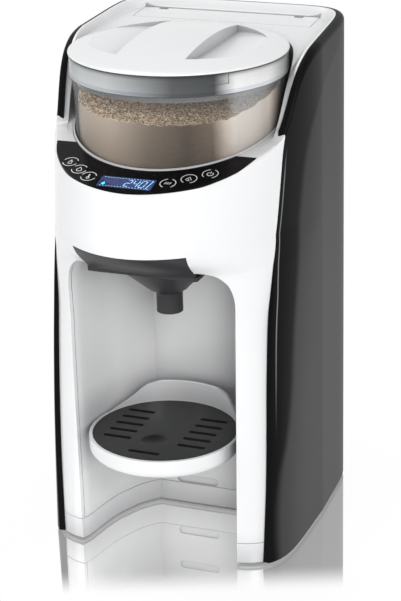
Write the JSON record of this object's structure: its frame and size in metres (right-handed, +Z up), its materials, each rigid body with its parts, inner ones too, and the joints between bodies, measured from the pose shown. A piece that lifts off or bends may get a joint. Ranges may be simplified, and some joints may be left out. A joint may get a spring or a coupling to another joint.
{
  "type": "baby formula maker",
  "caption": "Countertop baby formula maker with a powder hopper and dosing wheel, a rear water tank, a pull-out mixing funnel and a drip tray over an open bottle bay.",
  "frame": {"origin": "centre of the bounding box's bottom, on the surface that the feet stand on", "axes": "+Z up, front towards -Y, +X to the right when facing the front"},
  "size_m": [0.201, 0.255, 0.4017],
  "materials": {
    "white_shell": "glossy white moulding with soft highlights",
    "white_inner": "plain white inner moulding",
    "graphite_shell": "glossy dark grey moulding",
    "smoke_plastic": "smooth dark grey moulding",
    "black_gloss": "high gloss black",
    "black_matte": "satin black moulding",
    "display": "blue backlit display under a smooth window",
    "clear_plastic": "clear moulding",
    "frosted_plastic": "pale grey see-through moulding",
    "grey_rubber": "plain grey rubber",
    "steel": "plain zinc plated steel",
    "circuit_board": "green circuit board"
  },
  "bodies": {
    "machine": {"front_housing": "white_shell", "rear_deck": "white_shell", "bay_liner": "white_shell", "bay_back": "white_shell", "hopper_well": "white_shell", "rear_shell": "graphite_shell", "base_ring": "white_shell", "base_plate": "grey_rubber", "foot_1": "grey_rubber", "foot_2": "grey_rubber", "foot_3": "grey_rubber", "foot_4": "grey_rubber", "base_screw_1": "steel", "base_screw_2": "steel", "base_screw_3": "steel", "base_screw_4": "steel", "control_panel": "black_gloss", "lcd_window": "display", "lcd_module": "circuit_board", "control_board": "circuit_board", "gearbox": "smoke_plastic", "gear_motor": "steel", "tank_socket": "white_inner", "tank_shelf": "white_inner", "pump": "smoke_plastic", "heater": "steel", "feed_hose": "frosted_plastic", "link_hose": "frosted_plastic", "hot_hose": "frosted_plastic", "water_nozzle": "white_inner", "power_inlet": "black_gloss", "power_board": "circuit_board"},
    "button_1": {"button_1": "black_gloss"},
    "button_2": {"button_2": "black_gloss"},
    "button_3": {"button_3": "black_gloss"},
    "button_4": {"button_4": "black_gloss"},
    "button_5": {"button_5": "black_gloss"},
    "button_6": {"button_6": "black_gloss"},
    "hopper": {"hopper": "clear_plastic", "hopper_base": "clear_plastic", "hopper_collar": "frosted_plastic", "powder_gate": "frosted_plastic"},
    "agitator": {"dosing_disc": "white_inner", "stirring_wheel": "white_inner"},
    "drive": {"drive_shaft": "steel"},
    "lid": {"lid": "white_shell", "lid_gasket": "grey_rubber"},
    "funnel": {"funnel": "smoke_plastic", "funnel_cover": "smoke_plastic"},
    "tray": {"tray": "white_shell"},
    "grid": {"drip_grid": "black_matte"},
    "tank": {"water_tank": "clear_plastic", "tank_valve": "white_inner", "tank_hinge_pin": "steel"},
    "tank_lid": {"tank_lid": "white_shell"}
  },
  "joints": [
    {"name": "button_1_press", "type": "slide", "parent": "machine", "child": "button_1", "axis": [0, 0.2425, -0.9701], "range_m": [0, 0.0008], "stiffness_N_per_m": 800},
    {"name": "button_2_press", "type": "slide", "parent": "machine", "child": "button_2", "axis": [0, 0.2425, -0.9701], "range_m": [0, 0.0008], "stiffness_N_per_m": 800},
    {"name": "button_3_press", "type": "slide", "parent": "machine", "child": "button_3", "axis": [0, 0.2425, -0.9701], "range_m": [0, 0.0008], "stiffness_N_per_m": 800},
    {"name": "button_4_press", "type": "slide", "parent": "machine", "child": "button_4", "axis": [0, 0.2425, -0.9701], "range_m": [0, 0.0008], "stiffness_N_per_m": 800},
    {"name": "button_5_press", "type": "slide", "parent": "machine", "child": "button_5", "axis": [0, 0.2425, -0.9701], "range_m": [0, 0.0008], "stiffness_N_per_m": 800},
    {"name": "button_6_press", "type": "slide", "parent": "machine", "child": "button_6", "axis": [0, 0.2425, -0.9701], "range_m": [0, 0.0008], "stiffness_N_per_m": 800},
    {"name": "hopper_lift", "type": "slide", "parent": "machine", "child": "hopper", "axis": [0, 0, 1], "range_m": [0, 0.115]},
    {"name": "lid_lift", "type": "slide", "parent": "hopper", "child": "lid", "axis": [0, 0, 1], "range_m": [0, 0.03]},
    {"name": "agitator_spin", "type": "hinge", "parent": "hopper", "child": "agitator", "pos_m": [0, -0.0039, 0.303], "axis": [0, 0, 1], "continuous": true},
    {"name": "drive_spin", "type": "hinge", "parent": "machine", "child": "drive", "pos_m": [0, -0.0039, 0.28], "axis": [0, 0, 1], "continuous": true},
    {"name": "funnel_slide", "type": "slide", "parent": "machine", "child": "funnel", "axis": [0, -1, 0], "range_m": [0, 0.15]},
    {"name": "tray_slide", "type": "slide", "parent": "machine", "child": "tray", "axis": [0, -1, 0], "range_m": [0, 0.15]},
    {"name": "grid_lift", "type": "slide", "parent": "tray", "child": "grid", "axis": [0, 0, 1], "range_m": [0, 0.025]},
    {"name": "tank_lift", "type": "slide", "parent": "machine", "child": "tank", "axis": [0, 0, 1], "range_m": [0, 0.345]},
    {"name": "tank_lid_hinge", "type": "hinge", "parent": "tank", "child": "tank_lid", "pos_m": [0, 0.1105, 0.3883], "axis": [-1, 0, 0], "range_deg": [0, 95]}
  ],
  "couplings": [
    {"joint": "drive_spin", "follows": "agitator_spin", "ratio": 1}
  ]
}
